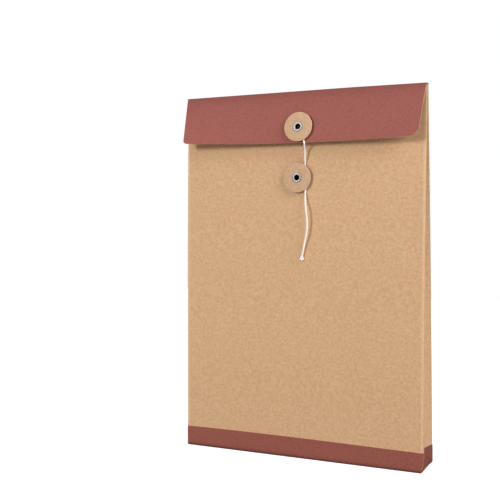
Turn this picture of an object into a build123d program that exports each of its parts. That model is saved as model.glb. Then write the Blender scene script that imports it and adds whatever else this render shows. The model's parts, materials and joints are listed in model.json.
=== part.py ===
from build123d import *
import math
import os

# String tie envelope: a kraft board pouch that stands on a block bottom, with pleated sides,
# a scored flap faced with leather-grain paper, and two disc buttons for a cotton string.
# Millimetres. X runs across the front, Y from front to back, Z up; the origin is the middle of the base.

# Pouch
pouch_width = 230.0
pouch_height = 330.0
base_depth = 30.0
mouth_depth = 4.4
panel_bow = 1.6
throat_drop = 4.0

# Sheets and the room between them
board = 0.5
skin = 0.3
glue_line = 0.05
crease_gap = 0.2

# Bottom wrap
strip_height = 16.6
ear_front_height = 21.2
ear_rear_height = 17.3

# Side pleats
pleat_levels = 6

# Flap
flap_lean = 11.0
flap_length = 46.9
flap_side_length = 45.8
flap_taper = 2.8
flap_left_corner = 5.0
flap_right_corner = 9.0
flap_curl = 7.5
flap_clear = 0.8
score_cut = 0.6

# Buttons and eyelets
disc_diameter = 26.5
disc_thickness = 1.2
disc_edge = 0.25
upper_button_margin = 13.7
upper_button_x = 1.7
button_below_flap = 17.66
lower_button_x = -1.3
barrel_diameter = 5.0
eyelet_wall = 0.4
eyelet_lip = 0.2
punch_reach = 5.0
flange_diameter = 7.8
flange_height = 0.7
roll_diameter = 7.2
roll_height = 0.6
running_fit = 0.1
seat_gap = 0.02

# String
string_diameter = 1.6
string_sides = 8
string_room = 0.15
loop_room = 0.3
loop_start_angle = 305.0
loop_corner = (4.75, -9.2)
loop_end = (5.75, -13.2)
edge_lead = 2.0
tip_length = 4.5
tip_spread = 2.6
bend_share = 0.45

# The string's free stretch below the flap: across, up, and out from the front panel to its middle
tail_route = [
    (7.6, 279.4, 7.4),
    (7.25, 275.6, 5.8),
    (6.8, 272.2, 4.2),
    (6.2, 269.2, 2.3),
    (5.75, 266.6, 1.0),
    (5.75, 258.0, 0.95),
    (5.95, 245.0, 0.95),
    (6.2, 239.4, 1.2),
    (6.95, 232.4, 2.8),
    (8.25, 226.8, 5.1),
    (9.85, 220.4, 7.0),
    (11.05, 213.6, 8.1),
    (10.4, 207.6, 6.6),
    (8.65, 202.2, 4.3),
    (7.0, 196.8, 3.0),
    (5.3, 190.0, 2.8),
    (4.2, 183.2, 4.2),
]

# What follows from the sizes above
cover = skin + glue_line
base_half = base_depth / 2 - cover
mouth_half = mouth_depth / 2
front_top = pouch_height - throat_drop
fold_radius = board / 2 + cover
crease_height = pouch_height - fold_radius
front_low = skin + 2 * crease_gap
back_top = crease_height - fold_radius - crease_gap
back_crease = (mouth_half - board / 2, crease_height)
front_crease = (-mouth_half - flap_clear, crease_height)
flap_edge_height = crease_height - flap_length * math.cos(math.radians(flap_lean))
upper_button_drop = flap_length - upper_button_margin
lower_button_height = flap_edge_height - button_below_flap - disc_diameter / 2
button_gap = string_diameter + 2 * string_room
string_radius = string_diameter / 2
loop_radius = barrel_diameter / 2 + string_radius + loop_room


def half_depth(z):
    """How far a panel's outer face stands from the middle plane at a height: a wedge that swells."""
    part_way = z / pouch_height
    return base_half + (mouth_half - base_half) * part_way + 4 * panel_bow * part_way * (1 - part_way)


def half_depth_slope(z):
    """How half_depth changes with height."""
    return (mouth_half - base_half + 4 * panel_bow * (1 - 2 * z / pouch_height)) / pouch_height


def across(profile, width):
    """A profile drawn in Y and Z, run evenly to both sides."""
    return extrude(Plane.YZ * profile, width / 2, both=True)


def panel_sheet(side, width, low, high, inner, thickness):
    """A sheet that follows a panel; side is -1 at the front, inner is from the panel's outer face."""
    levels = (low, (low + high) / 2, high)
    near = ThreePointArc(*[(side * (half_depth(z) + inner), z) for z in levels])
    far = ThreePointArc(*[(side * (half_depth(z) + inner + thickness), z) for z in levels])
    return across(make_face(near + far + Line(near @ 0, far @ 0) + Line(near @ 1, far @ 1)), width)


# Places of the two buttons: each plane lies on the sheet's outer face, looking out
flap_out = Vector(0, -math.cos(math.radians(flap_lean)), math.sin(math.radians(flap_lean)))
flap_plane = Plane(origin=(0, *front_crease), x_dir=(1, 0, 0), z_dir=flap_out)
flap_face = flap_plane.offset(fold_radius)
upper_place = flap_face * Pos(upper_button_x, -upper_button_drop)
upper_seat = Plane(upper_place)
lower_seat = Plane(
    origin=(lower_button_x, -half_depth(lower_button_height), lower_button_height),
    x_dir=(1, 0, 0),
    z_dir=(0, -1, -half_depth_slope(lower_button_height)),
)


def barrel_hole(seat):
    """The punched hole that an eyelet's barrel goes through."""
    return seat * Cylinder(barrel_diameter / 2 + crease_gap / 2, punch_reach)


def front_panel():
    return panel_sheet(-1, pouch_width, front_low, front_top, -board, board) - barrel_hole(lower_seat)


def back_panel():
    return panel_sheet(1, pouch_width, cover, back_top, -board, board)


def base_panel():
    reach = half_depth(cover + board) - board
    width = pouch_width - 2 * board - 2 * crease_gap
    middle = Pos(0, crease_gap / 2, cover + board / 2)
    return middle * Box(width, 2 * reach - crease_gap, board)


def half_pleat_span(z):
    """From a panel's inner face to the centre crease, measured front to back."""
    return half_depth(z) - board - crease_gap / 2


def pleat_depth(z):
    """How far the centre crease folds in at a height, for paper of one width from bottom to top."""
    paper_width = half_pleat_span(ear_front_height)
    return math.sqrt(max(0.0, paper_width**2 - half_pleat_span(z) ** 2))


def pleat_section(side_x, side_y, z):
    """Half a pleat cut at one level: a strip from the panel's inner face to the centre crease."""
    edge = pouch_width / 2
    reach = half_depth(z) - board
    fold = Vector(edge, reach)
    crease = Vector(edge - pleat_depth(z), crease_gap / 2)
    along = (crease - fold).normalized()
    inner_crease = crease + Vector(along.Y, -along.X) * board
    inner_fold = inner_crease + along * ((reach - inner_crease.Y) / along.Y)
    outline = [(side_x * p.X, side_y * p.Y) for p in (fold, crease, inner_crease, inner_fold)]
    return Pos(0, 0, z) * make_face(Polyline(*outline, close=True))


def half_gusset(side_x, side_y, low):
    """One half of a pleated side, flat above the block bottom and folding in towards the mouth."""
    step = (front_top - ear_front_height) / pleat_levels
    levels = [low] + [ear_front_height + n * step for n in range(pleat_levels + 1)]
    return loft([pleat_section(side_x, side_y, z) for z in levels], ruled=True)


def wrap_base():
    front = -(base_depth / 2 - skin - crease_gap)
    rear = half_depth(skin) + glue_line
    middle = Pos(0, (front + rear) / 2, skin / 2)
    return middle * Box(pouch_width + 2 * glue_line, rear - front, skin)


def wrap_strip(side):
    return panel_sheet(side, pouch_width + 2 * cover, 0, strip_height, glue_line, skin)


def wrap_ear(side_x):
    """The wrap's end on one side, higher at the front than at the rear."""
    front = [-half_depth(z) - glue_line + crease_gap for z in (0, ear_front_height)]
    rear = [half_depth(z) for z in (0, ear_rear_height)]
    outline = Polyline(
        (front[0], 0),
        (rear[0], 0),
        (rear[1], ear_rear_height),
        (front[1], ear_front_height),
        close=True,
    )
    inner = pouch_width / 2 + glue_line
    start = inner if side_x > 0 else -inner - skin
    return Pos(start, 0, 0) * extrude(Plane.YZ * make_face(outline), skin)


def spine_board():
    """The strip between the flap's two scores, with a rounded edge on each crease."""
    middle = (back_crease[0] + front_crease[0]) / 2
    length = back_crease[0] - front_crease[0] + board
    return across(Pos(middle, crease_height) * SlotOverall(length, board), pouch_width)


def spine_cover():
    """The facing over that strip, turned down round both creases."""
    edges = Curve()
    front_turn = 90 - flap_lean
    for radius in (board / 2 + glue_line, fold_radius):
        back = CenterArc(back_crease, radius, 0, 90)
        front = CenterArc(front_crease, radius, 90, front_turn)
        edges += [back, front, Line(back @ 1, front @ 0)]
    for crease, turn in ((back_crease, 0), (front_crease, 90 + front_turn)):
        ends = [CenterArc(crease, r, turn, 1) @ 0 for r in (board / 2 + glue_line, fold_radius)]
        edges += [Line(*ends)]
    return across(make_face(edges), pouch_width)


def flap_outline():
    """The flap below its score: sides that draw in and a lower edge that bellies down."""
    half_top = pouch_width / 2
    half_low = half_top - flap_taper
    sides = Polyline(
        (-half_low, -flap_side_length),
        (-half_top, -score_cut),
        (half_top, -score_cut),
        (half_low, -flap_side_length),
    )
    belly = ThreePointArc(sides @ 1, (0, -flap_length), sides @ 0)
    face = make_face(sides + belly)
    for corner, radius in ((sides @ 0, flap_left_corner), (sides @ 1, flap_right_corner)):
        face = fillet(face.vertices().sort_by_distance(corner)[0], radius)
    return face


def curled_section(drop, inner, thickness):
    """The flap cut level at one drop below its crease: a strip whose ends stand out."""
    half = pouch_width / 2
    curl = flap_curl * drop / flap_length
    near, far = [
        ThreePointArc((-half, out + curl), (0, out), (half, out + curl)) for out in (inner, inner + thickness)
    ]
    strip = make_face(near + far + Line(near @ 0, far @ 0) + Line(near @ 1, far @ 1))
    return Pos(0, -drop) * (Plane.XZ * strip)


def flap_sheet(inner, thickness):
    """A layer of the flap. The string draws its middle in, so its lower corners stand out."""
    sections = [curled_section(drop, inner, thickness) for drop in (score_cut, flap_length)]
    room = extrude(flap_outline(), 2 * flap_curl, both=True)
    return flap_plane * (loft(sections, ruled=True) & room) - barrel_hole(upper_seat)


def button(seat):
    """A pressed board disc that turns under the eyelet's flange, clear of the sheet by the string."""
    ring = Circle(disc_diameter / 2) - Circle(barrel_diameter / 2 + running_fit)
    disc = extrude(ring, disc_thickness)
    rims = disc.edges().filter_by(GeomType.CIRCLE).sort_by(SortBy.RADIUS)[-2:]
    return seat.offset(button_gap) * chamfer(rims, disc_edge)


def eyelet(seat, backing):
    """A rolled metal eyelet: a domed flange over the button and a clinched roll behind the sheet."""
    bore = barrel_diameter / 2 - eyelet_wall
    barrel = barrel_diameter / 2
    flange_under = button_gap + disc_thickness + seat_gap
    roll_over = -backing - seat_gap
    flange_rim = flange_diameter / 2
    roll_rim = roll_diameter / 2
    profile = Polyline(
        (bore, flange_under + eyelet_lip),
        (barrel, flange_under + flange_height),
        ((barrel + flange_rim) / 2, flange_under + flange_height),
        (flange_rim, flange_under + eyelet_lip),
        (flange_rim, flange_under),
        (barrel, flange_under),
        (barrel, roll_over),
        (roll_rim, roll_over),
        (roll_rim, roll_over - eyelet_lip),
        ((barrel + roll_rim) / 2, roll_over - roll_height),
        (barrel, roll_over - roll_height),
        (bore, roll_over - eyelet_lip),
        close=True,
    )
    return seat * revolve(Plane.XZ * make_face(profile), Axis.Z)


def tube(path):
    """The string along a path, with enough sides to read as round."""
    start = Plane(origin=path @ 0, z_dir=path % 0)
    return sweep(start * RegularPolygon(string_radius, string_sides), path=path)


def rounded(points):
    """Straight runs joined by arcs as large as the runs allow, and the arcs' radii."""
    radii = []
    for before, here, after in zip(points, points[1:], points[2:]):
        turn = math.radians((here - before).get_angle(after - here))
        shorter = min((here - before).length, (after - here).length)
        radii.append(bend_share * shorter / math.tan(turn / 2))
    return FilletPolyline(*points, radius=radii), radii


def string_loop():
    """The string's fixed end: once round the upper barrel, then out under the button to the flap's edge."""
    corner = Vector(*loop_corner)
    leave_angle = math.degrees(math.atan2(corner.Y, corner.X) + math.acos(loop_radius / corner.length))
    ring = CenterArc((0, 0), loop_radius, loop_start_angle, leave_angle - loop_start_angle)
    lead, radii = rounded([ring @ 1, corner, Vector(*loop_end)])
    print("loop radius", round(loop_radius, 2), "lead radii", [round(r, 1) for r in radii])
    path = Wire(list(ring.edges()) + list(lead.edges()))
    return upper_seat.offset(button_gap / 2) * tube(path), path.length


def string_tail():
    """The string's hanging end, from the flap's edge down behind the lower button."""
    place = upper_seat.offset(button_gap / 2)
    end = Vector(*loop_end)
    past_edge = end + (end - Vector(*loop_corner)).normalized() * edge_lead
    route = [place.from_local_coords(p) for p in (end, past_edge)]
    route += [Vector(x, -half_depth(z) - out, z) for x, z, out in tail_route]
    path, radii = rounded(route)
    print("tail radii", [round(r, 1) for r in radii])
    return tube(path), path


def string_tip(path):
    """The cut end, where the strands open out."""
    place = Plane(origin=path @ 1, z_dir=path % 1)
    middle = Pos(0, 0, tip_length / 2)
    return place * (middle * Cone(string_radius, tip_spread / 2, tip_length))


tail, tail_path = string_tail()
loop, loop_length = string_loop()
parts = {
    "front_panel": front_panel(),
    "back_panel": back_panel(),
    "base_panel": base_panel(),
    "left_gusset_front": half_gusset(-1, -1, front_low),
    "right_gusset_front": half_gusset(1, -1, front_low),
    "left_gusset_rear": half_gusset(-1, 1, cover),
    "right_gusset_rear": half_gusset(1, 1, cover),
    "bottom_wrap_base": wrap_base(),
    "bottom_wrap_front": wrap_strip(-1),
    "bottom_wrap_back": wrap_strip(1),
    "bottom_wrap_left": wrap_ear(-1),
    "bottom_wrap_right": wrap_ear(1),
    "flap_spine_board": spine_board(),
    "flap_spine_cover": spine_cover(),
    "flap_board": flap_sheet(-board / 2, board),
    "flap_cover": flap_sheet(board / 2 + glue_line, skin),
    "upper_button": button(upper_seat),
    "upper_eyelet": eyelet(upper_seat, board + cover),
    "lower_button": button(lower_seat),
    "lower_eyelet": eyelet(lower_seat, board),
    "string_loop": loop,
    "string_tail": tail,
    "string_tip": string_tip(tail_path),
}

section = RegularPolygon(string_radius, string_sides).area
print("string length", round(loop_length + tail_path.length + tip_length, 1))
print("tail volume against section times length", round(tail.volume / (section * tail_path.length), 4))
print("loop volume against section times length", round(loop.volume / (section * loop_length), 4))

os.makedirs("parts", exist_ok=True)
for name, shape in parts.items():
    export_step(shape, f"parts/{name}.step")
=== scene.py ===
import json
import math

import bmesh
import bpy
from mathutils import Matrix, Vector


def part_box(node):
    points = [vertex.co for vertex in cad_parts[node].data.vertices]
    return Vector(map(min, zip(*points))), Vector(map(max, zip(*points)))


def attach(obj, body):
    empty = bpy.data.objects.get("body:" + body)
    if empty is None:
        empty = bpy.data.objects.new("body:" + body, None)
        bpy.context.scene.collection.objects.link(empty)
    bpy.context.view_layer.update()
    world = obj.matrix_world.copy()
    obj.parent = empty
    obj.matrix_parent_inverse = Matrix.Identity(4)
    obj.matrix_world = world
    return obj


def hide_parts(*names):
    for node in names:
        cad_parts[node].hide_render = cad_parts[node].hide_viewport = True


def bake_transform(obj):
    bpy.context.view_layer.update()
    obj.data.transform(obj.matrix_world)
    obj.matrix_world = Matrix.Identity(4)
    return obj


# String tie envelope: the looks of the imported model, in metres and in its own frame.
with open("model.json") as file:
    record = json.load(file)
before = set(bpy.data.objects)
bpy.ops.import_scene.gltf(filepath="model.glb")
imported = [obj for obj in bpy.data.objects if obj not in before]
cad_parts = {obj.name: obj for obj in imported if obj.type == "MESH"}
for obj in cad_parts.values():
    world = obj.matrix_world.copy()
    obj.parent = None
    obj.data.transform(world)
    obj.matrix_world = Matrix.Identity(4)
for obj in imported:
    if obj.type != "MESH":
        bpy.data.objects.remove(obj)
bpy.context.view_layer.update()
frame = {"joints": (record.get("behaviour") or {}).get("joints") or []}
joints = {joint["name"]: joint for joint in frame["joints"]}
mm = 0.001

# Sizes repeated from the part
pouch_height = 330 * mm
pouch_half = 115 * mm
base_half = 14.65 * mm
mouth_half = 2.2 * mm
panel_bow = 1.6 * mm
board = 0.5 * mm
skin = 0.3 * mm
glue_line = 0.05 * mm
crease_gap = 0.2 * mm
ear_front_height = 21.2 * mm
ear_rear_height = 17.3 * mm
flap_lean = math.radians(11)
flap_length = 46.9 * mm
flap_side_length = 45.8 * mm
flap_taper = 2.8 * mm
flap_right_corner = 9 * mm
flap_curl = 7.5 * mm
disc_radius = 13.25 * mm
disc_thickness = 1.2 * mm
disc_play = 0.1 * mm
barrel_radius = 2.5 * mm
flange_height = 0.7 * mm
roll_radius = 3.6 * mm
roll_height = 0.6 * mm
string_diameter = 1.6 * mm
button_gap = 1.9 * mm
loop_radius = 3.6 * mm
loop_start_angle = math.radians(305)
loop_corner = Vector((4.75 * mm, -9.2 * mm))
loop_end = Vector((5.75 * mm, -13.2 * mm))
edge_lead = 2 * mm

# Sizes that follow the photograph more closely than the part does
flap_left_corner = 3.4 * mm
disc_bend = 0.45 * mm
sink_depth = 0.06 * mm
sink_start = 1.4 * mm
sink_end = 0.3 * mm
eyelet_wall = 0.15 * mm
flange_radius = 4.3 * mm

# The string's twist and its frayed end
strand_count = 3
twist_pitch = 4.2 * mm
twist_step = 0.3 * mm
fray_sunk = 0.4 * mm
fray_flatness = 0.55

# The string's route below the flap, in metres: across, up, and out from the front panel
tail_route = [
    (0.00670, 0.2794, 0.00530),
    (0.00658, 0.2756, 0.00400),
    (0.00645, 0.2722, 0.00330),
    (0.00605, 0.2692, 0.00200),
    (0.00575, 0.2666, 0.00100),
    (0.00575, 0.2580, 0.00095),
    (0.00595, 0.2450, 0.00095),
    (0.00620, 0.2394, 0.00120),
    (0.00695, 0.2324, 0.00280),
    (0.00808, 0.2268, 0.00470),
    (0.00926, 0.2204, 0.00560),
    (0.00971, 0.2136, 0.00490),
    (0.00943, 0.2076, 0.00430),
    (0.00844, 0.2022, 0.00380),
    (0.00700, 0.1968, 0.00300),
    (0.00535, 0.1900, 0.00235),
    (0.00375, 0.1832, 0.00165),
]

# Places read from the frame
tube_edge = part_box("front_panel")[1].x
front_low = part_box("front_panel")[0].z
front_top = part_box("front_panel")[1].z
back_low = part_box("back_panel")[0].z
strip_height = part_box("bottom_wrap_front")[1].z
back_crease = Vector(joints["flap_lift"]["pos_m"]).yz
front_crease = Vector(joints["flap_unfold"]["pos_m"]).yz
string_pivot = Vector(joints["string_hang"]["pos_m"])
spine_middle = (back_crease.x + front_crease.x) / 2
cover = skin + glue_line
flap_down = Vector((0, -math.sin(flap_lean), -math.cos(flap_lean)))
flap_out = Vector((0, -math.cos(flap_lean), math.sin(flap_lean)))

# Folded paper: how its folds bend, and where the panels meet the pleats
fold_bend = 0.8 * mm
crease_bend = 0.35 * mm
seam_inset = 3 * mm
pleat_rise = 2.7 * mm
pleat_top = front_top + pleat_rise

# The top folds, a little out of square
left_drop = 1.45 * mm
drop_start = 50 * mm
drop_reach = 60 * mm

# The bottom wrap: its turn under the base, with painted shade along it by row, its hand-cut edges, and its
# pinched right end
under_bend = 0.75 * mm
under_rows = [height * mm for height in (0, 0.1, 0.25, 0.5, 0.75, 1.4, 2.0)]
under_shade = [0.9, 0.85, 0.8, 0.75, 0.7, 0.6, 0.25]
strip_rise = 1.25 * mm
strip_slant = 0.35 * mm
strip_bow = 0.8 * mm
ear_front_rise = 0.9 * mm
ear_rear_rise = 1.2 * mm
edge_line = 0.8 * mm
front_pinch = 2.2 * mm
rear_pinch = 3.3 * mm
pinch_rear_height = 3.5 * mm
tuck_short = 0.5 * mm

# The slight wave of a handled panel
wave_height = 0.12 * mm
wave_foot = 25 * mm
wave_across = 17 * mm
wave_up = 26 * mm
wave_shift = 0.7
wave_lift = 0.4

# Rubbing and painted light, from 0 to 1: bare board is rubbed pale, which also paints its fold highlight,
# and printed paper takes painted shade
seam_rub_and_highlight = 0.35
fold_rub_and_highlight = 0.3
crease_shade_and_rub = 0.35
below_crease_shade_and_rub = 0.25
flap_shade_and_rub = 0.2
ear_painted_shade = 0.25
ear_edge_painted_shadow = 0.7

# The photograph's camera
camera_place = (0.324702, -0.767909, 0.2429)
camera_yaw = math.radians(26.211)
camera_pitch = math.radians(3.77)
camera_roll = math.radians(-0.741)
camera_lens = 66.474

# The studio, and its soft boxes: name, place, side, and power in watts
floor_half = 1.2
ambient_strength = 0.06
floor_glow = 0.9
floor_shadow = 0.35
soft_boxes = [
    ("key_box", (-0.75, -1.6, 0.86), 0.52, 22.4),
    ("fill_box", (1.2, -0.4, 0.95), 0.8, 19),
    ("back_box", (-0.9, 1.6, 1.1), 1.0, 24),
]


def half_depth(z):
    """How far a panel's outer face stands from the middle plane at a height."""
    part_way = z / pouch_height
    return base_half + (mouth_half - base_half) * part_way + 4 * panel_bow * part_way * (1 - part_way)


def pleat_depth(z):
    """How far the pleat's centre crease folds in at a height, for paper of one width all the way up."""
    paper, span = (half_depth(level) - board - crease_gap / 2 for level in (ear_front_height, z))
    return math.sqrt(max(0.0, paper**2 - span**2))


def top_drop(x, z):
    """How much lower the pouch's top lies towards its left end, folded a little out of square."""
    across = max(0.0, (drop_start - x) / (drop_start + pouch_half))
    up = min(1.0, max(0.0, 1 - (back_crease.y - z) / drop_reach))
    return left_drop * across * up


def front_to_rear(y, front, rear):
    """A value at a place across the block bottom, from its value at the front and at the rear."""
    part_way = min(1.0, max(0.0, (y + base_half) / (2 * base_half)))
    return front + (rear - front) * part_way


def pinch_height(y):
    """The height of the diagonal fold on the block bottom's right end."""
    return front_to_rear(y, strip_height, pinch_rear_height)


def pinch(side, y, z):
    """How far the block bottom is pinched in below that fold; its left end stands square."""
    if side < 0:
        return 0.0
    return front_to_rear(y, front_pinch, rear_pinch) * max(0.0, 1 - z / pinch_height(y))


def steps(start, end, count):
    """Evenly spaced values from start to end, both included."""
    return [start + (end - start) * k / count for k in range(count + 1)]


def seat_of(joint):
    """A button's seat: its middle on the sheet's outer face, looking out."""
    out = Vector(joints[joint]["axis"]).normalized()
    across = Vector((1, 0, 0))
    turn = Matrix((across, out.cross(across), out)).transposed()
    return Matrix.Translation(joints[joint]["pos_m"]) @ turn.to_4x4()


# Materials

def linear(code):
    """An sRGB hex colour as linear RGBA."""
    values = [int(code[k:k + 2], 16) / 255 for k in (1, 3, 5)]
    return [v / 12.92 if v <= 0.04045 else ((v + 0.055) / 1.055) ** 2.4 for v in values] + [1.0]


def node(tree, kind, inputs=None, **settings):
    """Adds a node with its settings; an input is a value, or a socket to link from."""
    made = tree.nodes.new(kind)
    for name, value in settings.items():
        setattr(made, name, value)
    for name, value in (inputs or {}).items():
        if isinstance(value, bpy.types.NodeSocket):
            tree.links.new(value, made.inputs[name])
        else:
            made.inputs[name].default_value = value
    return made


def start_material(name, **sockets):
    """A new material: its node tree, its shader with the given socket values, and Object coordinates."""
    material = bpy.data.materials.new(name)
    material.use_nodes = True
    tree = material.node_tree
    shader = tree.nodes["Principled BSDF"]
    for socket, value in sockets.items():
        shader.inputs[socket.replace("_", " ")].default_value = value
    place = node(tree, "ShaderNodeTexCoord").outputs["Object"]
    return material, tree, shader, place


def kraft_board(name, dark, light, pale):
    # Kraft board, machine made and uncoated: a cloudy warm brown with crossing pale fibres and a few
    # bark flecks, matt, and rubbed pale where it is folded, a pale band that also paints the folds'
    # highlight. The fibres are drawn coarser than life.
    cloud_size = 2.4 * mm
    fibre_length = 2.6 * mm
    fibre_width = 0.7 * mm
    fibre_turns = (0.5, -0.7)
    fleck_spacing = 4 * mm
    tooth_size = 0.6 * mm
    tooth_depth = 0.08 * mm
    bark = "#8A6844"
    rubbed_and_highlight = "#F0D2AE"
    material, tree, shader, place = start_material(name, Roughness=0.85, Specular_IOR_Level=0.25)
    cloud = node(tree, "ShaderNodeTexNoise", {"Vector": place, "Scale": 1 / cloud_size, "Detail": 3.0})
    cloud_range = node(
        tree, "ShaderNodeMapRange", {"Value": cloud.outputs["Fac"], "From Min": 0.3, "From Max": 0.7}
    )
    colour = node(
        tree,
        "ShaderNodeMix",
        {0: cloud_range.outputs["Result"], 6: linear(dark), 7: linear(light)},
        data_type="RGBA",
    ).outputs[2]
    fibre_scale = (1 / fibre_length, 1 / fibre_length, 1 / fibre_width)
    for turn in fibre_turns:
        lay = node(
            tree, "ShaderNodeMapping", {"Vector": place, "Rotation": (0, turn, 0), "Scale": fibre_scale}
        )
        fibre = node(
            tree, "ShaderNodeTexNoise", {"Vector": lay.outputs["Vector"], "Scale": 1.0, "Detail": 1.0}
        )
        fibre_range = node(
            tree,
            "ShaderNodeMapRange",
            {"Value": fibre.outputs["Fac"], "From Min": 0.58, "From Max": 0.75, "To Max": 0.4},
        )
        colour = node(
            tree,
            "ShaderNodeMix",
            {0: fibre_range.outputs["Result"], 6: colour, 7: linear(pale)},
            data_type="RGBA",
        ).outputs[2]
    fleck = node(tree, "ShaderNodeTexVoronoi", {"Vector": place, "Scale": 1 / fleck_spacing})
    fleck_range = node(
        tree,
        "ShaderNodeMapRange",
        {
            "Value": fleck.outputs["Distance"],
            "From Min": 0.07,
            "From Max": 0.14,
            "To Min": 0.35,
            "To Max": 0.0,
        },
    )
    colour = node(
        tree,
        "ShaderNodeMix",
        {0: fleck_range.outputs["Result"], 6: colour, 7: linear(bark)},
        data_type="RGBA",
    ).outputs[2]
    # The rubbed colour, where the points carry it, also paints the highlight along the pleats' front folds
    wear_and_painted_light = node(tree, "ShaderNodeAttribute", attribute_name="wear_and_painted_light")
    colour = node(
        tree, "ShaderNodeMix", {0: wear_and_painted_light.outputs["Fac"], 6: colour, 7: linear(rubbed_and_highlight)}, data_type="RGBA"
    ).outputs[2]
    tooth = node(tree, "ShaderNodeTexNoise", {"Vector": place, "Scale": 1 / tooth_size, "Detail": 2.0})
    bump = node(
        tree, "ShaderNodeBump", {"Height": tooth.outputs["Fac"], "Strength": 0.35, "Distance": tooth_depth}
    )
    tree.links.new(colour, shader.inputs["Base Color"])
    tree.links.new(bump.outputs["Normal"], shader.inputs["Normal"])
    return material


def grain_paper(name, valley, crest, shine):
    # Paper embossed with a leather grain and printed maroon: small pebbles with darker valleys, a slightly
    # uneven print, a dull satin shine, and painted shade that darkens it along creases, edges and the wrap's
    # ends. The pebbles are drawn coarser than life.
    drift_size = 3 * mm
    drift_reach = 1.2 * mm
    pebble_size = 1.3 * mm
    pebble_depth = 0.12 * mm
    cloud_size = 18 * mm
    painted_shade = "#4E2320"
    material, tree, shader, place = start_material(name, Roughness=0.7, Specular_IOR_Level=shine)
    drift = node(tree, "ShaderNodeTexNoise", {"Vector": place, "Scale": 1 / drift_size, "Detail": 2.0})
    shift = node(
        tree,
        "ShaderNodeVectorMath",
        {0: drift.outputs["Color"], 1: (drift_reach,) * 3, 2: place},
        operation="MULTIPLY_ADD",
    )
    pebble = node(
        tree,
        "ShaderNodeTexVoronoi",
        {"Vector": shift.outputs["Vector"], "Scale": 1 / pebble_size, "Smoothness": 0.4},
        feature="SMOOTH_F1",
    )
    valley_range = node(
        tree, "ShaderNodeMapRange", {"Value": pebble.outputs["Distance"], "From Min": 0.25, "From Max": 0.7}
    )
    colour = node(
        tree,
        "ShaderNodeMix",
        {0: valley_range.outputs["Result"], 6: linear(crest), 7: linear(valley)},
        data_type="RGBA",
    ).outputs[2]
    print_cloud = node(tree, "ShaderNodeTexNoise", {"Vector": place, "Scale": 1 / cloud_size, "Detail": 3.0})
    cloud_range = node(
        tree,
        "ShaderNodeMapRange",
        {"Value": print_cloud.outputs["Fac"], "From Min": 0.35, "From Max": 0.7, "To Max": 0.35},
    )
    colour = node(
        tree,
        "ShaderNodeMix",
        {0: cloud_range.outputs["Result"], 6: colour, 7: linear(crest)},
        data_type="RGBA",
    ).outputs[2]
    # Painted shade: darker where the points carry it, along creases, edges and the wrap's ends
    wear_and_painted_light = node(tree, "ShaderNodeAttribute", attribute_name="wear_and_painted_light")
    colour = node(
        tree, "ShaderNodeMix", {0: wear_and_painted_light.outputs["Fac"], 6: colour, 7: linear(painted_shade)}, data_type="RGBA"
    ).outputs[2]
    bump = node(
        tree,
        "ShaderNodeBump",
        {"Height": pebble.outputs["Distance"], "Strength": 0.22, "Distance": pebble_depth},
        invert=True,
    )
    tree.links.new(colour, shader.inputs["Base Color"])
    tree.links.new(bump.outputs["Normal"], shader.inputs["Normal"])
    return material


def cut_edge(name, core, fibre):
    # The cut edge of paper or board: fuzzy fibres with no print and no shine, pale where it is clean.
    fuzz_size = 0.5 * mm
    material, tree, shader, place = start_material(name, Roughness=0.95, Specular_IOR_Level=0.1)
    fuzz = node(tree, "ShaderNodeTexNoise", {"Vector": place, "Scale": 1 / fuzz_size, "Detail": 2.0})
    colour = node(
        tree, "ShaderNodeMix", {0: fuzz.outputs["Fac"], 6: linear(core), 7: linear(fibre)}, data_type="RGBA"
    ).outputs[2]
    tree.links.new(colour, shader.inputs["Base Color"])
    return material


def plated_nickel(name, dark, light):
    # Brass eyelet, rolled and nickel plated: a soft grey shine, dulled by handling, with burnish marks.
    # Its near-black copy is tarnish in the bore and painted shade there and on the flange's outer rim.
    mark_size = 0.8 * mm
    material, tree, shader, place = start_material(name, Metallic=1.0)
    marks = node(tree, "ShaderNodeTexNoise", {"Vector": place, "Scale": 1 / mark_size, "Detail": 3.0})
    shine = node(tree, "ShaderNodeMapRange", {"Value": marks.outputs["Fac"], "To Min": 0.28, "To Max": 0.46})
    colour = node(
        tree,
        "ShaderNodeMix",
        {0: marks.outputs["Fac"], 6: linear(dark), 7: linear(light)},
        data_type="RGBA",
    ).outputs[2]
    tree.links.new(shine.outputs["Result"], shader.inputs["Roughness"])
    tree.links.new(colour, shader.inputs["Base Color"])
    return material


def twisted_cotton():
    # Bleached cotton, spun and twisted: soft warm white, matt, with hair-fine fibres.
    fibre_size = 0.4 * mm
    fibre_depth = 0.05 * mm
    material, tree, shader, place = start_material(
        "bleached_cotton_twisted", Roughness=0.9, Specular_IOR_Level=0.15, Sheen_Weight=0.2
    )
    fibre = node(tree, "ShaderNodeTexNoise", {"Vector": place, "Scale": 1 / fibre_size, "Detail": 3.0})
    colour = node(
        tree,
        "ShaderNodeMix",
        {0: fibre.outputs["Fac"], 6: linear("#FFF4E8"), 7: linear("#FFFFFF")},
        data_type="RGBA",
    ).outputs[2]
    bump = node(
        tree, "ShaderNodeBump", {"Height": fibre.outputs["Fac"], "Strength": 0.3, "Distance": fibre_depth}
    )
    tree.links.new(colour, shader.inputs["Base Color"])
    tree.links.new(bump.outputs["Normal"], shader.inputs["Normal"])
    return material


kraft = kraft_board("kraft_board_uncoated", "#C59C74", "#D3AC86", "#E2C29D")
kraft_cut = cut_edge("kraft_board_cut_edge", "#D9B48C", "#EACBA6")
maroon = grain_paper("maroon_paper_grain_embossed", "#93554C", "#9E5F56", 0.12)
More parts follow.
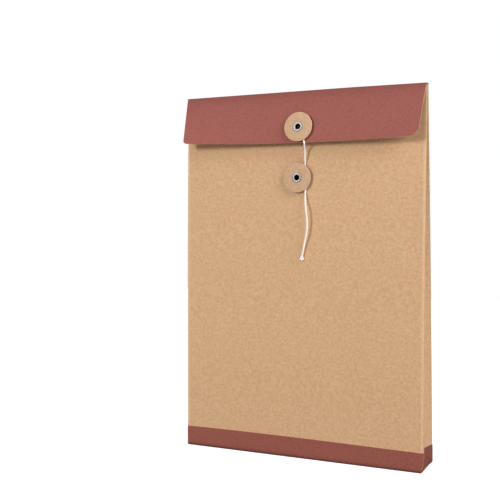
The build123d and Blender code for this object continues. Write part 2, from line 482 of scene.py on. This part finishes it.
# The bottom wrap takes a darker copy of the flap's paper: painted shade for the less light it gets
wrap = grain_paper("maroon_paper_grain_embossed_painted_shade", "#8D5248", "#985B50", 0.03)
maroon_cut = cut_edge("maroon_paper_cut_edge", "#C08A7A", "#D9AE9A")
disc_board = kraft_board("disc_board_pressed", "#BE9775", "#CAA687", "#D8B999")
disc_cut = cut_edge("disc_board_cut_edge", "#C9A380", "#D8B592")
# A dark copy of the disc's cut edge for the lower half of its rim: painted shade
disc_side_shade = cut_edge("disc_board_cut_edge_painted_shade", "#6B4A33", "#805A3F")
nickel = plated_nickel("nickel_plated_brass_rolled", "#5A5C5E", "#8F9090")
bore_tarnish_and_shade = plated_nickel("nickel_plated_brass_tarnish_and_painted_shade", "#0D0C0B", "#1C1A18")
cotton = twisted_cotton()


# Building pieces

def new_piece(name, mesh, *materials):
    """Puts a mesh in the scene under its name."""
    piece = bpy.data.objects.new(name, mesh)
    bpy.context.scene.collection.objects.link(piece)
    for material in materials:
        mesh.materials.append(material)
    return piece


def finish_mesh(name, shape, sharp=math.radians(40)):
    """A mesh from a closed bmesh, with faces outward, smooth but for its sharp edges."""
    bmesh.ops.remove_doubles(shape, verts=shape.verts, dist=1e-7)
    bmesh.ops.recalc_face_normals(shape, faces=shape.faces)
    mesh = bpy.data.meshes.new(name)
    shape.to_mesh(mesh)
    shape.free()
    mesh.polygons.foreach_set("use_smooth", [True] * len(mesh.polygons))
    mesh.set_sharp_from_angle(angle=sharp)
    return mesh


def sheet(name, outer, inner, face, edge, wear_and_painted_light=lambda row, column: 0.0):
    """A thin closed sheet between two grids of points, with its cut edge round the rim."""
    shape = bmesh.new()
    # Each point carries a value for its material: a pale rub with a painted highlight on bare board, painted
    # shade on printed paper
    wear_and_light_layer = shape.verts.layers.float.new("wear_and_painted_light")
    grids = []
    for points in (outer, inner):
        grid = [[shape.verts.new(point) for point in row] for row in points]
        grids.append(grid)
        for r, row in enumerate(grid):
            for c, vert in enumerate(row):
                vert[wear_and_light_layer] = wear_and_painted_light(r, c)
        for row, above in zip(grid, grid[1:]):
            for k in range(len(row) - 1):
                shape.faces.new((row[k], row[k + 1], above[k + 1], above[k]))
    near, far = grids
    rims = [
        (near[0], far[0]),
        (near[-1], far[-1]),
        ([row[0] for row in near], [row[0] for row in far]),
        ([row[-1] for row in near], [row[-1] for row in far]),
    ]
    for near_rim, far_rim in rims:
        for k in range(len(near_rim) - 1):
            rim = shape.faces.new((near_rim[k], near_rim[k + 1], far_rim[k + 1], far_rim[k]))
            rim.material_index = 1
    return new_piece(name, finish_mesh(name, shape), face, edge)


def evaluated_mesh(piece):
    """The piece's mesh with its modifiers applied."""
    bpy.context.view_layer.update()
    return bpy.data.meshes.new_from_object(piece.evaluated_get(bpy.context.evaluated_depsgraph_get()))


def punch(piece, seat):
    """Cuts the eyelet's hole through a piece."""
    shape = bmesh.new()
    radius = barrel_radius + crease_gap / 2
    reach = 10 * mm
    bmesh.ops.create_cone(
        shape, cap_ends=True, segments=48, radius1=radius, radius2=radius, depth=reach, matrix=seat
    )
    for face in shape.faces:
        face.material_index = 1
    cutter = new_piece("punch", finish_mesh("punch", shape), kraft, kraft_cut)
    cut = piece.modifiers.new("hole", "BOOLEAN")
    cut.object = cutter
    cut.operation = "DIFFERENCE"
    cut.solver = "EXACT"
    punched = evaluated_mesh(piece)
    piece.modifiers.clear()
    piece.data = punched
    bpy.data.objects.remove(cutter)
    return piece


def turned(name, profile, seat, *materials, sides=96):
    """A round piece: a closed profile of (radius, height, material) points, turned about its seat's axis."""
    shape = bmesh.new()
    rings = []
    for k in range(sides):
        spin = seat @ Matrix.Rotation(2 * math.pi * k / sides, 4, "Z")
        rings.append([shape.verts.new(spin @ Vector((radius, 0, height))) for radius, height, _ in profile])
    count = len(profile)
    for k in range(sides):
        ring, following = rings[k], rings[(k + 1) % sides]
        for p in range(count):
            q = (p + 1) % count
            face = shape.faces.new((ring[p], ring[q], following[q], following[p]))
            face.material_index = profile[p][2]
    return new_piece(name, finish_mesh(name, shape, math.radians(50)), *materials)


def round_edge(centre_radius, centre_height, bend, start, end, count, slot):
    """Profile points on a rounded edge, from one angle to another in degrees."""
    points = []
    for angle in steps(math.radians(start), math.radians(end), count):
        points.append((centre_radius + bend * math.cos(angle), centre_height + bend * math.sin(angle), slot))
    return points


# Panels and pleats

def panel_wave(x, z):
    """How far a handled panel stands off its true curve: slight, and nothing at its edges."""
    up = min(1.0, max(0.0, (z - wave_foot) / (front_top - wave_foot)))
    fade = math.sin(math.pi * up) * (1 - (x / tube_edge) ** 2)
    return wave_height * fade * math.sin(x / wave_across + wave_shift) * math.sin(z / wave_up + wave_lift)


def front_sheet():
    """The front panel between its side folds."""
    half = tube_edge - seam_inset
    rows = steps(front_low, front_top, 60)
    columns = steps(-half, half, 40)
    outer = [[(x, -half_depth(z) - panel_wave(x, z), z) for x in columns] for z in rows]
    inner = [[(x, -half_depth(z) - panel_wave(x, z) + board, z) for x in columns] for z in rows]
    return punch(sheet("front_panel_sheet", outer, inner, kraft, kraft_cut), seat_of("lower_button_turn"))


def half_pleat(z, fold, crease):
    """One face of a pleat's front half at a height: round the front fold, in to the centre crease."""
    reach = half_depth(z)
    fold_centre = Vector((tube_edge - fold_bend, fold_bend - reach))
    crease_centre = Vector((tube_edge - pleat_depth(z) + crease_bend, 0))
    between = crease_centre - fold_centre
    heading = math.atan2(between.y, between.x) + math.asin((fold_bend + crease_bend) / between.length)
    panel_y = fold_centre.y - fold
    line = [(tube_edge - seam_inset, panel_y), (tube_edge - seam_inset / 2, panel_y)]
    for angle in steps(-math.pi / 2, heading - math.pi / 2, 10):
        line.append((fold_centre.x + fold * math.cos(angle), fold_centre.y + fold * math.sin(angle)))
    turn = [
        (crease_centre.x + crease * math.cos(angle), crease_centre.y + crease * math.sin(angle))
        for angle in steps(heading + math.pi / 2, math.pi, 4)
    ]
    leave, reach_crease = line[-1], turn[0]
    for share in steps(0, 1, 12)[1:-1]:
        line.append(tuple(a + (b - a) * share for a, b in zip(leave, reach_crease)))
    return line + turn


def pleat(name, side):
    """A pleated side in one sheet, from the front fold to the rear fold; its rows crowd near the foot."""
    crowding = 1.6
    climb = pleat_top - ear_front_height
    rows = steps(back_low, ear_front_height, 6)[:-1]
    rows += [ear_front_height + climb * share**crowding for share in steps(0, 1, 60)]
    grids = []
    for fold, crease in ((fold_bend, crease_bend), (fold_bend - board, crease_bend + board)):
        grid = []
        for z in rows:
            half = half_pleat(z, fold, crease)
            whole = half + [(x, -y) for x, y in reversed(half[:-1])]
            grid.append([(side * (x - pinch(side, y, z)), y, z - top_drop(side * x, z)) for x, y in whole])
        grids.append(grid)
    # A pale band just before and round the front fold: rubbed board, and a painted highlight of the fold
    rub_and_highlight = [0, seam_rub_and_highlight] + [fold_rub_and_highlight * max(0.0, 1 - 4 * share) for share in steps(0, 1, 10)]
    rub_and_highlight += [0] * (len(whole) - len(rub_and_highlight))
    piece = sheet(name, *grids, kraft, kraft_cut, lambda row, column: rub_and_highlight[column])
    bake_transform(piece)
    return piece


# Flap and back panel, one scored board with a facing

def point(x, yz):
    """A point of the back panel or the folds."""
    return (x, yz[0], yz[1] - top_drop(x, yz[1]))


def crease_turn(centre, before, after, outer, inner, count=8):
    """Outer and inner points round a crease; an inner face that would overlap itself meets in one corner."""
    middle = (before + after) / 2
    corner_reach = inner / math.cos((after - before) / 2)
    pairs = []
    for angle in steps(before, after, count):
        way = Vector((math.cos(angle), math.sin(angle)))
        inner_way = Vector((math.cos(middle), math.sin(middle))) * corner_reach if inner < 0 else way * inner
        pairs.append((centre + way * outer, centre + inner_way))
    return pairs


def corner_room(turn, inner):
    """How far from a crease the inner faces on its two sides meet."""
    return max(0.0, -inner) * math.tan(turn / 2)


def face_spine_ends(piece, low):
    """Carries the maroon paper over the cut ends above a height."""
    piece.data.materials.append(maroon)
    last = len(piece.data.materials) - 1
    for face in piece.data.polygons:
        if face.material_index == 1 and face.center.z > low - top_drop(face.center.x, low):
            face.material_index = last
    return piece


def back_sheet():
    """The back panel, over the rear crease to the middle of the spine, whose ends are faced too."""
    outer, inner = board / 2, -board / 2
    room = corner_room(math.pi / 2, inner)
    notch = 0.02 * mm
    rows = steps(back_low, pleat_top, 40) + steps(pleat_top + notch, back_crease.y - room, 2)
    pairs = [(tube_edge - seam_inset if z <= pleat_top else tube_edge, (half_depth(z), z)) for z in rows]
    pairs = [(half, yz, (yz[0] - board, yz[1])) for half, yz in pairs]
    for near, far in crease_turn(back_crease, 0, math.pi / 2, outer, inner):
        pairs.append((tube_edge, near, far))
    for y in steps(back_crease.x - room, spine_middle, 4):
        pairs.append((pouch_half, (y, back_crease.y + outer), (y, back_crease.y + inner)))
    columns = steps(-1, 1, 24)
    outer_grid = [[point(half * u, near) for u in columns] for half, near, _ in pairs]
    inner_grid = [[point(half * u, far) for u in columns] for half, _, far in pairs]
    piece = sheet("back_panel_sheet", outer_grid, inner_grid, kraft, kraft_cut)
    return face_spine_ends(piece, pleat_top + board)


def spine_facing():
    """The facing from the rear crease to the middle of the spine."""
    outer, inner = board / 2 + cover, board / 2 + glue_line
    pairs = crease_turn(back_crease, 0, math.pi / 2, outer, inner)
    for y in steps(back_crease.x, spine_middle, 4)[1:]:
        pairs.append(((y, back_crease.y + outer), (y, back_crease.y + inner)))
    columns = steps(-pouch_half, pouch_half, 24)
    grids = [[[point(x, pair[face]) for x in columns] for pair in pairs] for face in (0, 1)]
    return face_spine_ends(sheet("spine_facing", *grids, maroon, maroon_cut), pleat_top + board)


def flap_edge():
    """The flap's lower outline as (across, down) points: a slight belly between two rounded corners."""
    half_low = pouch_half - flap_taper

    def belly(x):
        """How far down the edge lies at a place across."""
        return flap_length - (flap_length - flap_side_length) * (x / half_low) ** 2

    def corner(side, bend):
        """A rounded corner, from the lower edge up to the side."""
        middle = half_low - bend
        low = belly(middle) - bend
        return [
            (side * (middle + bend * math.sin(angle)), low + bend * math.cos(angle))
            for angle in steps(0, math.pi / 2, 10)
        ]

    left, right = corner(-1, flap_left_corner), corner(1, flap_right_corner)
    between = [(x, belly(x)) for x in steps(left[0][0], right[0][0], 44)[1:-1]]
    return left[::-1] + between + right


def flap_sheet(name, outer, inner, face, edge):
    """The flap, from mid-spine over the front crease to its lower edge, curled out at its corners."""
    rows = 14
    first_row = 0.03
    faced_below = 2 * mm
    turn = math.pi / 2 - flap_lean
    room = corner_room(turn, inner)
    pairs = [
        ((y, front_crease.y + outer), (y, front_crease.y + inner))
        for y in steps(spine_middle, front_crease.x + room, 4)
    ]
    pairs += crease_turn(front_crease, math.pi / 2, math.pi - flap_lean, outer, inner)
    lower = flap_edge()
    drawn_in = flap_taper / flap_side_length
    shares = [x / (pouch_half - drawn_in * down) for x, down in lower]
    grids = []
    for face_side, offset in ((0, outer), (1, inner)):
        grid = [[point(share * pouch_half, pair[face_side]) for share in shares] for pair in pairs]
        for part_way in [0, first_row] + steps(1 / rows, 1, rows - 1):
            row = []
            for share, (_, down) in zip(shares, lower):
                s = room + (down - room) * part_way
                x = share * (pouch_half - drawn_in * s)
                curl = flap_curl * (s / flap_length) * (x / pouch_half) ** 2
                place = flap_down * s + flap_out * (offset + curl)
                drop = top_drop(x, back_crease.y) * (1 - part_way)
                row.append((x, front_crease.x + place.y, front_crease.y + place.z - drop))
            grid.append(row)
        grids.append(grid)
    # On the maroon facing these rows are painted shade along the crease, fading down the flap; on the kraft
    # board they rub it pale
    shade = [crease_shade_and_rub] * (len(pairs) + 1) + [below_crease_shade_and_rub]
    shade += [flap_shade_and_rub * math.exp(-k / 2) for k in range(rows)]
    piece = sheet(name, *grids, face, edge, lambda row, column: shade[row])
    return face_spine_ends(punch(piece, seat_of("upper_button_turn")), front_crease.y - faced_below)


# Bottom wrap

def tucked(z):
    """How far the wrap draws in as it turns under the base."""
    low = max(0.0, under_bend - z)
    return under_bend - math.sqrt(under_bend**2 - low**2)


def strip_top(x):
    """The strip's height at a place across: cut by hand, it rises a little on the left and in the middle."""
    leftward = 0.4
    across = x / pouch_half
    bow = strip_bow * (1 - across**2) * (1 - leftward * across)
    return strip_height + strip_rise - strip_slant * across + bow


def under_painted_shadow(row, column):
    """The painted shadow where the wrap turns under, by row."""
    return under_shade[row] if row < len(under_shade) else 0.0


def wrap_strip(name, side):
    """The wrap's strip along the front or the back, turned a little round both corners."""
    rows = under_rows + steps(under_rows[-1], strip_height, 8)[1:]
    corner_x = tube_edge - fold_bend
    grids = []
    for offset in (cover, glue_line):
        grid = []
        for z in rows:
            reach = half_depth(z)
            bend = fold_bend + offset - tucked(z)
            corner = [
                (corner_x + bend * math.sin(angle), fold_bend - reach - bend * math.cos(angle))
                for angle in steps(0, math.radians(80), 6)
            ]
            line = [(-x, y) for x, y in reversed(corner)]
            line += [(x, corner[0][1]) for x in steps(-corner_x, corner_x, 16)[1:-1]]
            line += [(x - pinch(1, side * base_half, z), y) for x, y in corner]
            grid.append([(x, -side * y, z * strip_top(x) / strip_height) for x, y in line])
        grids.append(grid)
    # Its lowest rows are painted dark: a painted shadow where it turns under
    return sheet(name, *grids, wrap, maroon_cut, under_painted_shadow)


def ear_levels(y):
    """Heights up the wrap's end: to the diagonal fold, then to its top edge, which falls to the rear."""
    fold = pinch_height(y)
    top = front_to_rear(y, ear_front_height + ear_front_rise, ear_rear_height + ear_rear_rise)
    return under_rows + steps(under_rows[-1], fold, 4)[1:] + [(fold + top) / 2, top - edge_line, top]


def tuck_levels(y):
    """Heights up the tucked corner that lies on the wrap's end, just short of the diagonal fold."""
    top = pinch_height(y) - tuck_short
    return under_rows + steps(under_rows[-1], top - edge_line, 3)[1:] + [top]


def wrap_ear(name, side, lift, levels):
    """One layer of the wrap's end on one side, painted darker as shade, most of all along its edges."""
    grids = []
    for offset in (lift + skin, lift):
        columns = []
        for y in steps(-base_half, base_half, 24):
            column = []
            for z in levels(y):
                x = tube_edge + offset - tucked(z) - pinch(side, y, z)
                column.append((side * x, y * (half_depth(z) - fold_bend) / base_half, z))
            columns.append(column)
        grids.append(columns)
    last = len(column) - 1

    def wear_and_painted_light(row, level):
        """The painted shade on a column of the ear at a level."""
        return max(ear_painted_shade, under_painted_shadow(level, row), ear_edge_painted_shadow * (level == last))

    piece = sheet(name, *grids, wrap, maroon_cut, wear_and_painted_light)
    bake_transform(piece)
    return piece


def base_layer(name, node_name, face, edge):
    """A flat layer of the base, drawn in at its pinched end."""
    low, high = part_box(node_name)
    columns = (low.x + under_bend, high.x - rear_pinch - under_bend)
    room = max(0.0, high.y - base_half + under_bend)
    rows = (low.y + room, high.y - room)
    grids = [[[(x, y, z) for x in columns] for y in rows] for z in (low.z, high.z)]
    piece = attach(sheet(name, *grids, face, edge), "pouch")
    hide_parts(node_name)
    return piece


# Buttons and eyelets

def button(name, joint):
    """A pressed board disc: rounded edges, a sunk ring under the eyelet's flange."""
    low, high = button_gap, button_gap + disc_thickness
    hole = barrel_radius + disc_play
    sunk = high - sink_depth
    flat = disc_radius - disc_bend
    profile = [(hole, low, 0), (flat, low, 0)]
    # The lower rounding and the side take the dark copy of the cut edge: painted shade
    profile += round_edge(flat, low + disc_bend, disc_bend, -90, 0, 4, 2)[1:]
    profile += round_edge(flat, high - disc_bend, disc_bend, 0, 90, 4, 1)[:-1]
    profile += [(flat, high, 0), (flange_radius + sink_start, high, 0)]
    profile += [(flange_radius + sink_end, sunk, 0), (hole, sunk, 0)]
    return turned(name, profile, seat_of(joint), disc_board, disc_cut, disc_side_shade)


def eyelet(name, joint, backing):
    """A rolled eyelet: a domed flange over the button, its barrel, and a clinched roll behind the sheet."""
    fullness = 0.8
    dark_rim = 0.5
    bore = barrel_radius - eyelet_wall
    top = button_gap + disc_thickness
    dome_middle = (bore + flange_radius) / 2
    dome_half = (flange_radius - bore) / 2
    roll_middle = (bore + roll_radius) / 2
    roll_half = (roll_radius - bore) / 2
    profile = []
    # The flange's outer rim takes the near-black copy of the metal: painted shade
    for angle in steps(math.pi, 0, 14):
        rise = flange_height * math.sin(angle) ** fullness if 0 < angle < math.pi else 0
        profile.append((dome_middle + dome_half * math.cos(angle), top + rise, 1 if angle < dark_rim else 0))
    profile += [(barrel_radius, top, 0), (barrel_radius, -backing, 0)]
    for angle in steps(0, math.pi, 10):
        drop = roll_height * math.sin(angle) ** fullness if 0 < angle < math.pi else 0
        profile.append((roll_middle + roll_half * math.cos(angle), -backing - drop, 0))
    # The bore takes the near-black copy too: tarnish, and painted shade for the dark inside of the hole
    profile[-1] = (bore, -backing, 1)
    return turned(name, profile, seat_of(joint), nickel, bore_tarnish_and_shade, sides=72)


# String

def new_tree(name, **sizes):
    """An empty Geometry Nodes tree with named inputs, and its two ends."""
    tree = bpy.data.node_groups.new(name, "GeometryNodeTree")
    tree.interface.new_socket("Geometry", in_out="INPUT", socket_type="NodeSocketGeometry")
    tree.interface.new_socket("Geometry", in_out="OUTPUT", socket_type="NodeSocketGeometry")
    for size, value in sizes.items():
        kind = "NodeSocketInt" if isinstance(value, int) else "NodeSocketFloat"
        socket = tree.interface.new_socket(size.replace("_", " "), in_out="INPUT", socket_type=kind)
        socket.default_value = value
    return tree, node(tree, "NodeGroupInput").outputs, node(tree, "NodeGroupOutput")


def grow(piece, tree, material):
    """Runs a tree on a piece, keeps the result as its plain mesh and takes the modifier off."""
    piece.modifiers.new("grow", "NODES").node_group = tree
    mesh = evaluated_mesh(piece)
    piece.modifiers.clear()
    piece.data = mesh
    if material.name not in mesh.materials:
        mesh.materials.append(material)
    return piece


def twist_tree(strand_radius, lay_radius):
    """Strands laid round a line, turning once in each pitch."""
    tree, given, result = new_tree(
        "twisted_strands",
        Strands=strand_count,
        Strand_Radius=strand_radius,
        Lay_Radius=lay_radius,
        Pitch=twist_pitch,
        Step=twist_step,
    )
    line = node(tree, "GeometryNodeMeshToCurve", {"Mesh": given["Geometry"]})
    even = node(
        tree,
        "GeometryNodeResampleCurve",
        {"Curve": line.outputs[0], "Length": given["Step"]},
        mode="LENGTH",
    )
    along = node(tree, "GeometryNodeSplineParameter")
    turns = node(tree, "ShaderNodeMath", {0: along.outputs["Length"], 1: given["Pitch"]}, operation="DIVIDE")
    tilt = node(tree, "ShaderNodeMath", {0: turns.outputs[0], 1: 2 * math.pi}, operation="MULTIPLY")
    wound = node(tree, "GeometryNodeSetCurveTilt", {"Curve": even.outputs[0], "Tilt": tilt.outputs[0]})
    places = node(
        tree,
        "GeometryNodeCurvePrimitiveCircle",
        {"Resolution": given["Strands"], "Radius": given["Lay Radius"]},
    )
    round_strand = node(
        tree, "GeometryNodeCurvePrimitiveCircle", {"Resolution": 10, "Radius": given["Strand Radius"]}
    )
    strands = node(
        tree,
        "GeometryNodeInstanceOnPoints",
        {"Points": places.outputs[0], "Instance": round_strand.outputs[0]},
    )
    section = node(tree, "GeometryNodeRealizeInstances", {"Geometry": strands.outputs[0]})
    swept = node(
        tree,
        "GeometryNodeCurveToMesh",
        {"Curve": wound.outputs[0], "Profile Curve": section.outputs[0], "Fill Caps": True},
    )
    real = node(tree, "GeometryNodeRealizeInstances", {"Geometry": swept.outputs[0]})
    dressed = node(tree, "GeometryNodeSetMaterial", {"Geometry": real.outputs[0], "Material": cotton})
    tree.links.new(dressed.outputs[0], result.inputs[0])
    return tree


def fray_tree():
    """Loose fibres that open out from a cut end, along +Z."""
    bow = (0.7, 0, 0.6)
    lean = 0.12
    full_turn = 6.28
    shortest = 0.7
    tree, given, result = new_tree(
        "frayed_fibres",
        Fibres=36,
        Bundle_Radius=0.5 * mm,
        Reach=5.0 * mm,
        Spread=1.8 * mm,
        Fibre_Radius=0.24 * mm,
    )
    offset = node(
        tree, "FunctionNodeRandomValue", {0: (-1, -1, 0), 1: (1, 1, 0), "Seed": 4}, data_type="FLOAT_VECTOR"
    )
    start = node(
        tree,
        "ShaderNodeVectorMath",
        {0: offset.outputs[0], "Scale": given["Bundle Radius"]},
        operation="SCALE",
    )
    roots = node(tree, "GeometryNodePoints", {"Count": given["Fibres"], "Position": start.outputs[0]})
    corner = node(tree, "ShaderNodeCombineXYZ", {"X": given["Spread"], "Z": given["Reach"]})
    opened = node(tree, "ShaderNodeVectorMath", {0: corner.outputs[0], 1: bow}, operation="MULTIPLY")
    fibre = node(
        tree,
        "GeometryNodeCurveQuadraticBezier",
        {"Resolution": 6, "Start": (0, 0, 0), "Middle": opened.outputs[0], "End": corner.outputs[0]},
    )
    turn = node(
        tree,
        "FunctionNodeRandomValue",
        {0: (-lean, -lean, 0), 1: (lean, lean, full_turn), "Seed": 7},
        data_type="FLOAT_VECTOR",
    )
    size = node(tree, "FunctionNodeRandomValue", {2: shortest, 3: 1.0, "Seed": 9}, data_type="FLOAT")
    spread = node(
        tree,
        "GeometryNodeInstanceOnPoints",
        {
            "Points": roots.outputs[0],
            "Instance": fibre.outputs[0],
            "Rotation": turn.outputs[0],
            "Scale": size.outputs[1],
        },
    )
    real = node(tree, "GeometryNodeRealizeInstances", {"Geometry": spread.outputs[0]})
    thread = node(
        tree, "GeometryNodeCurvePrimitiveCircle", {"Resolution": 6, "Radius": given["Fibre Radius"]}
    )
    swept = node(
        tree,
        "GeometryNodeCurveToMesh",
        {"Curve": real.outputs[0], "Profile Curve": thread.outputs[0], "Fill Caps": True},
    )
    dressed = node(tree, "GeometryNodeSetMaterial", {"Geometry": swept.outputs[0], "Material": cotton})
    tree.links.new(dressed.outputs[0], result.inputs[0])
    return tree


def string_points():
    """Control points of the string: once round the upper barrel, out under the disc, and down the front."""
    on_flap = seat_of("upper_button_turn") @ Matrix.Translation((0, 0, button_gap / 2))
    leave_angle = math.atan2(loop_corner.y, loop_corner.x) + math.acos(loop_radius / loop_corner.length)
    past_edge = loop_end + (loop_end - loop_corner).normalized() * edge_lead
    ring = [
        (loop_radius * math.cos(angle), loop_radius * math.sin(angle))
        for angle in steps(loop_start_angle, leave_angle, 14)
    ]
    flat = ring + [loop_corner, loop_end, past_edge]
    points = [on_flap @ Vector((p[0], p[1], 0)) for p in flat]
    points += [Vector((x, -half_depth(z) - out, z)) for x, z, out in tail_route]
    return points


def smooth_line(points):
    """The NURBS line that has these control points, as a bare line mesh."""
    curve = bpy.data.curves.new("string_route", "CURVE")
    curve.dimensions = "3D"
    spline = curve.splines.new("NURBS")
    spline.points.add(len(points) - 1)
    for knot, place in zip(spline.points, points):
        knot.co = (*place, 1.0)
    spline.order_u = 3
    spline.use_endpoint_u = True
    spline.resolution_u = 10
    route = bpy.data.objects.new("string_route", curve)
    line = bpy.data.meshes.new_from_object(route)
    bpy.data.objects.remove(route)
    return line


def cotton_string():
    """The twisted string and the fibres at its cut end."""
    line = smooth_line(string_points())
    path = [vert.co.copy() for vert in line.vertices]
    strand_to_lay = math.sin(math.pi / strand_count)
    strand_radius = string_diameter / 2 / (1 + 1 / strand_to_lay)
    lay_radius = strand_radius / strand_to_lay
    cord = grow(new_piece("cotton_string", line), twist_tree(strand_radius, lay_radius), cotton)
    heading = (path[-1] - path[-2]).normalized()
    fray = grow(new_piece("string_fray", bpy.data.meshes.new("string_fray")), fray_tree(), cotton)
    outward = Vector((1, 0, 0)).cross(heading).normalized()
    turn = Matrix((outward.cross(heading), outward * fray_flatness, heading)).transposed()
    fray.data.transform(Matrix.Translation(path[-1] - heading * fray_sunk) @ turn.to_4x4())
    for piece in (cord, fray):
        piece.data.polygons.foreach_set("use_smooth", [True] * len(piece.data.polygons))
    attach(fray, "string_end")
    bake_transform(cord)
    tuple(path[0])
    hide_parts("string_loop", "string_tail")
    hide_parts("string_tip")


# Studio

def photo_camera():
    """The photograph's view: from the right of the front, a little above the middle."""
    level = math.cos(camera_pitch)
    ahead = Vector((-math.sin(camera_yaw) * level, math.cos(camera_yaw) * level, -math.sin(camera_pitch)))
    right = ahead.cross(Vector((0, 0, 1))).normalized()
    up = right.cross(ahead)
    tilted_right = right * math.cos(camera_roll) + up * math.sin(camera_roll)
    tilted_up = up * math.cos(camera_roll) - right * math.sin(camera_roll)
    camera = bpy.data.objects.new("photo_camera", bpy.data.cameras.new("photo_camera"))
    camera.data.lens = camera_lens
    turn = Matrix((tilted_right, tilted_up, -ahead)).transposed()
    camera.matrix_world = Matrix.Translation(camera_place) @ turn.to_4x4()
    bpy.context.scene.collection.objects.link(camera)
    bpy.context.scene.camera = camera


def soft_lamp(name, place, size, power):
    """A square soft box that looks at the middle of the pouch."""
    lamp = bpy.data.lights.new(name, "AREA")
    lamp.shape = "SQUARE"
    lamp.size = size
    lamp.energy = power
    holder = bpy.data.objects.new(name, lamp)
    aim = Vector((0, 0, pouch_height / 2)) - Vector(place)
    holder.matrix_world = Matrix.Translation(place) @ aim.to_track_quat("-Z", "Y").to_matrix().to_4x4()
    bpy.context.scene.collection.objects.link(holder)


def seen_directly(tree):
    """1 where a surface is seen by the camera, in a mirror or through glass."""
    path = node(tree, "ShaderNodeLightPath").outputs
    either = node(
        tree, "ShaderNodeMath", {0: path["Is Camera Ray"], 1: path["Is Glossy Ray"]}, operation="MAXIMUM"
    )
    return node(
        tree, "ShaderNodeMath", {0: either.outputs[0], 1: path["Is Transmission Ray"]}, operation="MAXIMUM"
    ).outputs[0]


def studio():
    """White surroundings, a pale floor that keeps a soft shadow, and three soft boxes."""
    world = bpy.data.worlds.new("white_studio")
    bpy.context.scene.world = world
    world.use_nodes = True
    tree = world.node_tree
    tree.nodes.clear()
    ambient = node(tree, "ShaderNodeBackground", {"Color": linear("#FFFFFF"), "Strength": ambient_strength})
    white = node(tree, "ShaderNodeBackground", {"Color": linear("#FFFFFF"), "Strength": 1.0})
    mixed = node(
        tree, "ShaderNodeMixShader", {0: seen_directly(tree), 1: ambient.outputs[0], 2: white.outputs[0]}
    )
    node(tree, "ShaderNodeOutputWorld", {"Surface": mixed.outputs[0]})

    shape = bmesh.new()
    bmesh.ops.create_grid(shape, x_segments=1, y_segments=1, size=floor_half)
    floor = new_piece("floor", finish_mesh("floor", shape))
    paint = bpy.data.materials.new("pale_floor_paint")
    paint.use_nodes = True
    tree = paint.node_tree
    tree.nodes.clear()
    plain = node(tree, "ShaderNodeBsdfDiffuse", {"Color": linear("#BCBCBC")})
    shaded = node(tree, "ShaderNodeBsdfDiffuse", {"Color": (floor_shadow, floor_shadow, floor_shadow, 1)})
    glow = node(tree, "ShaderNodeEmission", {"Color": linear("#FFFFFF"), "Strength": floor_glow})
    shown = node(tree, "ShaderNodeAddShader", {0: shaded.outputs[0], 1: glow.outputs[0]})
    mixed = node(
        tree, "ShaderNodeMixShader", {0: seen_directly(tree), 1: plain.outputs[0], 2: shown.outputs[0]}
    )
    node(tree, "ShaderNodeOutputMaterial", {"Surface": mixed.outputs[0]})
    floor.data.materials.append(paint)

    for box in soft_boxes:
        soft_lamp(*box)
    bpy.context.scene.view_settings.view_transform = "Standard"


# Assembly

photo_camera()
studio()
cotton_string()

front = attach(front_sheet(), "front_wall")
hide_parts("front_panel")
back = back_sheet()
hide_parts("back_panel", "flap_spine_board")
facing_end = spine_facing()
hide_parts("flap_spine_cover")
flap_board = flap_sheet("flap_board_sheet", board / 2, -board / 2, kraft, kraft_cut)
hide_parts("flap_board")
flap_facing = flap_sheet("flap_facing", board / 2 + cover, board / 2 + glue_line, maroon, maroon_cut)
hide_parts("flap_cover")

# The back, the spine facing and the flap have their placement baked into their meshes
for piece in (back, facing_end):
    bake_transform(piece)
for piece in (flap_board, flap_facing):
    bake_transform(piece)

ears = []
for side, word in ((-1, "left"), (1, "right")):
    folded = pleat(f"{word}_pleat", side)
    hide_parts(f"{word}_gusset_front", f"{word}_gusset_rear")
    ear = wrap_ear(f"{word}_ear", side, glue_line, ear_levels)
    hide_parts(f"bottom_wrap_{word}")
    tuck = wrap_ear(f"{word}_tuck", side, cover, tuck_levels)
    ears += [ear, tuck]

for word, side, body in (("front", -1, "front_wall"), ("back", 1, "pouch")):
    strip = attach(wrap_strip(f"{word}_strip", side), body)
    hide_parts(f"bottom_wrap_{word}")

for word, body, backing in (("upper", "flap", board + cover), ("lower", "front_wall", board)):
    joint = f"{word}_button_turn"
    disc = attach(button(f"{word}_disc_board", joint), f"{word}_disc")
    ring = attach(eyelet(f"{word}_eyelet_ring", joint, backing), body)
    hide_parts(f"{word}_button")
    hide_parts(f"{word}_eyelet")

base = base_layer("base_board", "base_panel", kraft, kraft_cut)
base_wrap = base_layer("base_wrap", "bottom_wrap_base", wrap, maroon_cut)
